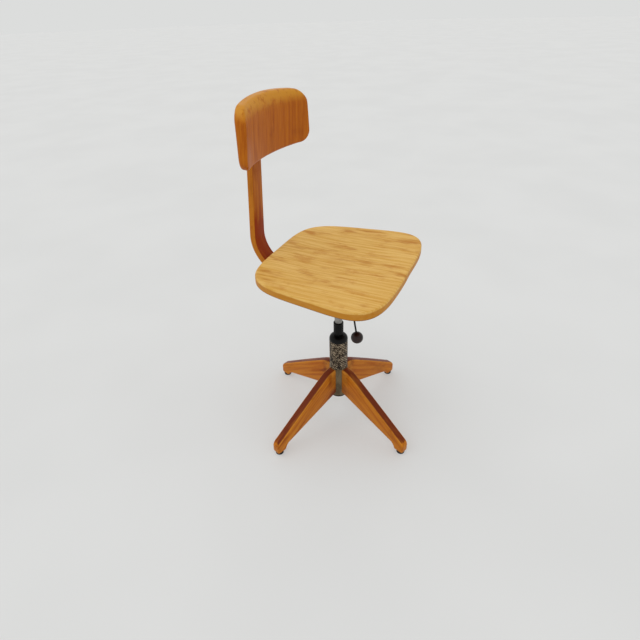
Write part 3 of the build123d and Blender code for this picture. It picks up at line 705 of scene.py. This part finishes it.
@dataclass
class Legs:
    """The four splayed legs of the base, each a board on edge with rounded arrises."""

    finish: Timber
    thick: float = 23 * MM
    first_angle: float = math.radians(68.7)
    count: int = 4
    rounding: float = 4.0 * MM
    cuts: range = range(36, 220, 14)
    nut_pocket: tuple[Vector, Vector] = (Vector((66, -7, 40)) * MM, Vector((88, 7, 115)) * MM)

    def outline(self) -> list[tuple[float, float, float]]:
        """The leg's stations from hub to tip: radius, underside and top, in millimetres."""
        root, notch = (26.0, 87.0), (209.0, 26.0)
        slope = (notch[1] - root[1]) / (notch[0] - root[0])
        crown = [(21.0, 173.2), (26.0, 173.0), (38.0, 171.4), (50.0, 168.0), (60.0, 162.5)]
        stations = [(r, root[1] + slope * (r - root[0]), top) for r, top in crown]
        for step in range(1, 9):
            r = crown[-1][0] + step * (notch[0] - crown[-1][0]) / 8
            stations.append((r, root[1] + slope * (r - root[0]), self.top(r)))
        for r, low in ((213.5, 22.5), (217.5, 16.5), (221.0, 8.0), (227.0, 8.0), (233.0, 8.0)):
            stations.append((r, low, self.top(r)))
        stations += [(238.5, 8.0, 46.8), (243.0, 8.0, 43.2)]
        stations += [(246.2, 8.8, 39.2), (248.2, 10.2, 34.6), (249.0, 12.0, 30.0)]
        return stations

    @staticmethod
    def top(radius: float) -> float:
        """The height of the long, slightly crowned top, in millimetres."""
        start, end, high, fall, crown = 60.0, 233.0, 162.5, 112.5, 0.9
        along = (radius - start) / (end - start)
        return high - fall * along + 4 * crown * along * (1 - along)

    def model(self, name: str) -> Bench:
        """Shape one leg lying along +X.

        Args:
            name: The piece's name.

        Returns:
            The bench that holds it.
        """
        half = self.thick / 2
        stations = [tuple(value * MM for value in station) for station in self.outline()]
        first, second = stations[0], stations[1]
        bench = start_cube(name, Vector((first[0], -half, first[1])), Vector((second[0], half, first[2])))
        self.reshape(bench, (second[0], first[1], first[2]), second)
        for last, station in zip(stations[1:], stations[2:]):
            bench.pick(lambda co, r=last[0]: near(co.x, r), "FACE")
            bench.extrude(Vector((station[0] - last[0], 0, 0)))
            self.reshape(bench, (station[0], last[1], last[2]), station)
        bench.close()
        bench.merge_flats()
        bench.soften(self.rounding, 5)
        bench.slice(0, [r * MM for r in self.cuts])
        return bench

    @staticmethod
    def reshape(bench: Bench, made: tuple[float, ...], wanted: tuple[float, ...]) -> None:
        """Move the newest section's lower and upper edges to the outline.

        Args:
            bench: The bench that holds the leg.
            made: The section's radius, underside and top now.
            wanted: The radius, underside and top that it should have.
        """
        radius, low, high = made
        bench.move(lambda co: near(co.x, radius) and near(co.z, low), Vector((0, 0, wanted[1] - low)))
        bench.move(lambda co: near(co.x, radius) and near(co.z, high), Vector((0, 0, wanted[2] - high)))

    def mark(self, bench: Bench) -> None:
        """Store where the leg is rubbed, where it is darker on top and painted with shade near the hub, and
        how its grain runs.
        """
        half = self.thick / 2

        def depth(co: Vector) -> float:
            """How far a point lies under the leg's long top."""
            return self.top(max(co.x / MM, 50.0)) * MM - co.z

        def arris(vertex: bpy.types.MeshVertex) -> float:
            """One along the two long upper edges, fading within a few millimetres."""
            side = half - abs(vertex.co.y)
            return 1.0 - fade(math.hypot(side, max(depth(vertex.co), 0.0)), 1.4 * MM, 3.6 * MM)

        def deep(vertex: bpy.types.MeshVertex) -> float:
            """One on the top faces, which are darker, and near the hub, where it is painted shade beside the
            column.
            """
            top = fade(vertex.normal.z, 0.45, 0.8)
            hub = 1.0 - fade(vertex.co.x, 34 * MM, 74 * MM)
            return max(top, 0.8 * hub)

        bench.paint("arris", arris)
        bench.paint("deep", deep)
        fall = Matrix.Rotation(-math.atan2(112.5, 173.0), 3, "Y")
        bench.run(lambda co: fall @ co)

    def build(self) -> None:
        """Model the leg once and copy it to its four places."""
        material = self.finish.build()
        pattern = self.model("leg_pattern")
        pattern.cut(*self.nut_pocket)
        pattern.smooth()
        self.mark(pattern)
        pattern.dress(material)
        for index in range(self.count):
            leg = pattern.piece.copy()
            leg.data = pattern.piece.data.copy()
            leg.name = f"shaped_leg_{index + 1}"
            bpy.context.collection.objects.link(leg)
            leg.data.transform(Matrix.Rotation(self.first_angle + index * math.tau / self.count, 4, "Z"))
            self.vary(leg, index)
            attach(leg, "base")
            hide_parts(f"leg_{index + 1}")
            LOG.info("leg %d: %d faces", index + 1, len(leg.data.polygons))
        bpy.data.objects.remove(pattern.piece)

    @staticmethod
    def vary(leg: bpy.types.Object, index: int) -> None:
        """Shift a copy's grain, so that no two legs come from the same board."""
        shift = Vector((0.37, 0.11, 0.23)) * index
        for item in leg.data.attributes["run"].data:
            item.vector = Vector(item.vector) + shift


@dataclass
class BentPost:
    """The steam-bent post that carries the backrest."""

    finish: Timber
    half_width: float = 24.5 * MM
    thick: float = 15 * MM
    bottom: float = 438 * MM
    start: float = 48 * MM
    bend_centre: Vector = Vector((0.0, 133.5, 539.0)) * MM
    bend_radius: float = 101 * MM
    lean: float = math.radians(3.6)
    upright: float = 298 * MM
    top_half_width: float = 21 * MM
    bend_steps: int = 26
    lengths: int = 12

    def build(self) -> None:
        """Extrude, spin and extrude the strip, then soften, mark and dress it."""
        far = self.bend_centre.y
        low = Vector((-self.half_width, self.start, self.bottom))
        high = Vector((self.half_width, far, self.bottom + self.thick))
        bench = start_cube("bent_post", low, high)
        bench.pick(lambda co: near(co.y, far), "FACE")
        bpy.ops.mesh.spin(
            steps=self.bend_steps, angle=-math.radians(90) - self.lean, center=self.bend_centre,
            axis=(1, 0, 0), use_auto_merge=False)
        up = Vector((0, -math.sin(self.lean), math.cos(self.lean)))
        for _ in range(self.lengths):
            bench.extrude(up * self.upright / self.lengths)
        bench.close()
        narrowing = 1 - self.top_half_width / self.half_width
        for vertex in bench.piece.data.vertices:
            rise = max((vertex.co - self.bend_centre).dot(up), 0.0)
            if vertex.co.y > self.bend_centre.y:
                vertex.co.x *= 1 - narrowing * rise / self.upright
        bench.soften(2.6 * MM, 4)
        bench.smooth()
        self.mark(bench)
        bench.dress(self.finish.build())
        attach(bench.piece, "post")
        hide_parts("back_post")
        LOG.info("bent post: %d faces", len(bench.piece.data.polygons))

    def along(self, co: Vector) -> Vector:
        """Where a point lies along the strip, across it and through it."""
        arm = co - self.bend_centre
        if co.y < self.bend_centre.y and arm.z < -50 * MM:
            return Vector((co.y - self.start, co.x, co.z - self.bottom))
        angle = math.atan2(arm.y, -arm.z)
        limit = math.radians(90) + self.lean
        level = self.bend_centre.y - self.start
        if angle <= limit and arm.z < self.bend_radius * math.sin(self.lean):
            return Vector((level + angle * self.bend_radius, co.x, math.hypot(arm.y, arm.z)))
        rise = arm.z * math.cos(self.lean) - arm.y * math.sin(self.lean)
        through = arm.y * math.cos(self.lean) + arm.z * math.sin(self.lean)
        return Vector((level + limit * self.bend_radius + rise, co.x, through))

    def mark(self, bench: Bench) -> None:
        """Store the strip's rubbed arrises, the painted shade on its lower front, and its grain."""
        def deep(vertex: bpy.types.MeshVertex) -> float:
            """Painted shade: one on the lower part of the face that looks at the sitter, nothing near the
            top.
            """
            normal = vertex.normal
            front = fade(-normal.y + max(normal.z, 0.0), 0.5, 0.9)
            return front * (1.0 - fade(vertex.co.z, 540 * MM, 660 * MM))

        def arris(vertex: bpy.types.MeshVertex) -> float:
            """One along the strip's four long edges."""
            return 1.0 - fade(abs(abs(vertex.normal.x) - 0.7), 0.1, 0.5)

        bench.paint("deep", deep)
        bench.paint("arris", arris)
        bench.run(self.along)


@dataclass
class Backrest:
    """The carved board: thick and rounded at its crest, thin at its foot, hollowed for the back."""

    finish: Timber
    centre: Vector = Vector((0.0, 202.5, 812.0)) * MM
    lean: float = math.radians(3.6)
    front: float = -39.4 * MM
    rear_top: float = -9.4 * MM
    rear_bottom: float = -19.4 * MM
    crest: float = 65.2 * MM
    foot: float = -65 * MM
    half_top: float = 138 * MM
    half_bottom: float = 152 * MM
    corner: float = 30 * MM
    hollow: float = 380 * MM
    crown: float = 6 * MM
    front_roll: float = 7 * MM
    rear_roll: float = 6 * MM
    crest_roll: float = 40 * MM
    crest_fall: float = 9 * MM
    strips: int = 46

    def build(self) -> None:
        """Shape the block, round it, hollow it, and stand it on its pivot."""
        low = Vector((-self.half_bottom, self.front, self.foot))
        high = Vector((self.half_bottom, self.rear_top, self.crest))
        bench = start_cube("carved_backrest", low, high)
        thinner = Vector((0, self.rear_bottom - high.y, 0))
        bench.move(lambda co: near(co.y, high.y) and near(co.z, low.z), thinner)
        narrower = self.half_bottom - self.half_top
        for side in (-1, 1):
            edge = side * self.half_bottom
            inward = Vector((-side * narrower, 0, 0))
            bench.move(lambda co, x=edge: near(co.x, x) and near(co.z, high.z), inward)
        self.round_corners(bench)
        self.round_faces(bench)
        bench.close()
        width = 2 * self.half_bottom / self.strips
        bench.slice(0, [index * width - self.half_bottom for index in range(1, self.strips)])
        bench.slice(2, [z * MM for z in range(-45, 56, 9)])
        self.bow(bench)
        bench.smooth(50.0)
        self.mark(bench)
        bench.dress(self.finish.build())
        stand = Matrix.Translation(self.centre) @ Matrix.Rotation(self.lean, 4, "X")
        bench.piece.data.transform(stand)
        self.seat_plate(bench)
        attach(bench.piece, "backrest")
        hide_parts("backrest_board")
        LOG.info("backrest: %d faces", len(bench.piece.data.polygons))

    def round_corners(self, bench: Bench) -> None:
        """Bevel the four edges that run from front to back."""
        bench.pick_edges(lambda first, second: abs(first.y - second.y) > 15 * MM)
        bpy.ops.mesh.bevel(offset=self.corner, segments=12, profile=0.5, clamp_overlap=False)

    def round_faces(self, bench: Bench) -> None:
        """Roll the front and rear edges over."""
        slope = (self.rear_top - self.rear_bottom) / (self.crest - self.foot)

        def at_rear(co: Vector) -> bool:
            """Whether a point lies on the sloping rear face."""
            return co.y > self.rear_bottom + slope * (co.z - self.foot) - 0.5 * MM

        bench.pick(lambda co: near(co.y, self.front), "FACE")
        bpy.ops.mesh.region_to_loop()
        bpy.ops.mesh.bevel(offset=self.front_roll, segments=8, profile=0.5, clamp_overlap=False)
        bench.pick(at_rear, "FACE")
        bpy.ops.mesh.region_to_loop()
        bpy.ops.mesh.bevel(offset=self.rear_roll, segments=6, profile=0.5, clamp_overlap=False)

    def bow(self, bench: Bench) -> None:
        """Hollow the front round the sitter's back and let the crest fall to the corners."""
        reach = self.half_top - self.corner
        for vertex in bench.piece.data.vertices:
            co = vertex.co
            rise = max(co.z - (self.crest - self.crest_roll), 0.0) / self.crest_roll
            co.y += self.crest_fall * rise**2 * (self.rear_top - co.y) / (self.rear_top - self.front)
            co.y -= self.hollow - math.sqrt(self.hollow**2 - co.x**2)
            share = min(abs(co.x) / reach, 1.25) ** 2
            if co.z > 0:
                co.z -= self.crown * share * co.z / self.crest
            else:
                co.z += 2 * MM * min(share, 1.0) * co.z / self.foot

    def mark(self, bench: Bench) -> None:
        """Store the painted highlight on the rolled crest and the upright grain."""
        def rolled(vertex: bpy.types.MeshVertex) -> float:
            """Painted highlight: one on the rolled crest, fading down the front and round the corners."""
            return fade(vertex.co.z, self.crest - 34 * MM, self.crest - 12 * MM)

        bench.paint("arris", rolled)
        bench.run(lambda co: Vector((co.z, co.x, co.y)))

    @staticmethod
    def seat_plate(bench: Bench) -> None:
        """Let the hinge plate into the back, where the frame has it."""
        low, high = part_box("backrest_plate")
        margin = Vector((0.5, 0, 0.5)) * MM
        bench.cut(low - margin, Vector((high.x, high.y + 20 * MM, high.z)) + margin)


@dataclass
class Studio:
    """The pale floor, the soft lights and the camera."""

    eye: Vector = Vector((-0.9591, -0.3991, 1.0373))
    heading: float = math.radians(64.68)
    pitch: float = math.radians(-34.30)
    roll: float = math.radians(-1.667)
    lens: float = 26.44
    sensor: float = 36.0
    floor_radius: float = 30.0
    backdrop: Colour = srgb(219, 220, 219)
    air: Colour = (0.80, 0.80, 0.795, 1.0)
    sun_strength: float = 0.48

    def camera(self) -> None:
        """Place the camera that the scene is seen through."""
        data = bpy.data.cameras.new("camera")
        data.lens = self.lens
        data.sensor_width = self.sensor
        data.clip_end = 200.0
        camera = bpy.data.objects.new("camera", data)
        turn = Matrix.Rotation(-self.heading, 4, "Z")
        tip = Matrix.Rotation(math.radians(90) + self.pitch, 4, "X")
        camera.matrix_world = Matrix.Translation(self.eye) @ turn @ tip @ Matrix.Rotation(self.roll, 4, "Z")
        bpy.context.collection.objects.link(camera)
        bpy.context.scene.camera = camera

    def floor(self) -> None:
        """Lay a wide matt floor that glows a little, as a lit paper sweep does."""
        deselect()
        bpy.ops.mesh.primitive_circle_add(vertices=96, radius=self.floor_radius, fill_type="NGON")
        floor = bpy.context.active_object
        floor.name = "studio_floor"
        material, wiring, shader = open_material("studio paper")
        place = wiring.node("ShaderNodeTexCoord").outputs["Object"]
        cloud = wiring.ramp(wiring.noise(place, (1.6, 1.6, 1.6), 2.0), 0.3, 0.7)
        tone = wiring.mix(cloud, srgb(172, 173, 173), srgb(176, 177, 177))
        wiring.tree.links.new(tone, shader.inputs["Base Color"])
        shader.inputs["Emission Color"].default_value = srgb(218, 218, 216)
        shader.inputs["Emission Strength"].default_value = 0.43
        shader.inputs["Roughness"].default_value = 0.9
        shader.inputs["Specular IOR Level"].default_value = 0.1
        floor.data.materials.append(material)

    def light(self, name: str, toward: Vector, strength: float, spread: float) -> None:
        """Add a soft distant light.

        Args:
            name: The light's name.
            toward: The way its light travels.
            strength: Its strength.
            spread: How wide it is, in degrees, which softens its shadows.
        """
        data = bpy.data.lights.new(name, "SUN")
        data.energy = strength
        data.angle = math.radians(spread)
        lamp = bpy.data.objects.new(name, data)
        lamp.rotation_euler = toward.to_track_quat("-Z", "Y").to_euler()
        bpy.context.collection.objects.link(lamp)

    def build(self) -> None:
        """Set up the whole studio."""
        world = bpy.data.worlds.new("studio air")
        world.use_nodes = True
        wiring = Wiring(world.node_tree)
        seen = wiring.node("ShaderNodeLightPath").outputs["Is Camera Ray"]
        glow = wiring.mix(seen, self.air, self.backdrop)
        wiring.tree.links.new(glow, world.node_tree.nodes["Background"].inputs["Color"])
        bpy.context.scene.world = world
        bpy.context.scene.view_settings.view_transform = "Standard"
        self.camera()
        self.floor()
        self.light("key", Vector((0.25, -0.35, -1.0)), self.sun_strength, 50.0)


def dress_frame(nodes: dict[str, bpy.types.Object]) -> None:
    """Give every part that stays as the frame has it its finish.

    Args:
        nodes: The frame's objects by name.
    """
    for finish, names in NODE_FINISHES.items():
        material = finish.build()
        for name in names:
            slots = nodes[name].material_slots
            if not slots:
                nodes[name].data.materials.append(material)
            for slot in slots:
                slot.material = material
        LOG.info("%s: %s", finish.name, ", ".join(names))


def compress_spring(spring: bpy.types.Object) -> None:
    """Give the release spring its own copy of its mesh.

    Args:
        spring: The frame's spring.
    """
    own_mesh(spring)


def main() -> None:
    """Load the frame and build every sub-assembly."""
    logging.basicConfig(level=logging.INFO, format="%(name)s %(message)s")
    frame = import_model()
    Studio().build()
    dress_frame(frame["nodes"])
    compress_spring(frame["nodes"]["release_spring"])
    Legs(LEG_TIMBER).build()
    BentPost(POST_TIMBER).build()
    Backrest(BACK_TIMBER).build()
    deselect()


if __name__ == "__main__":
    main()
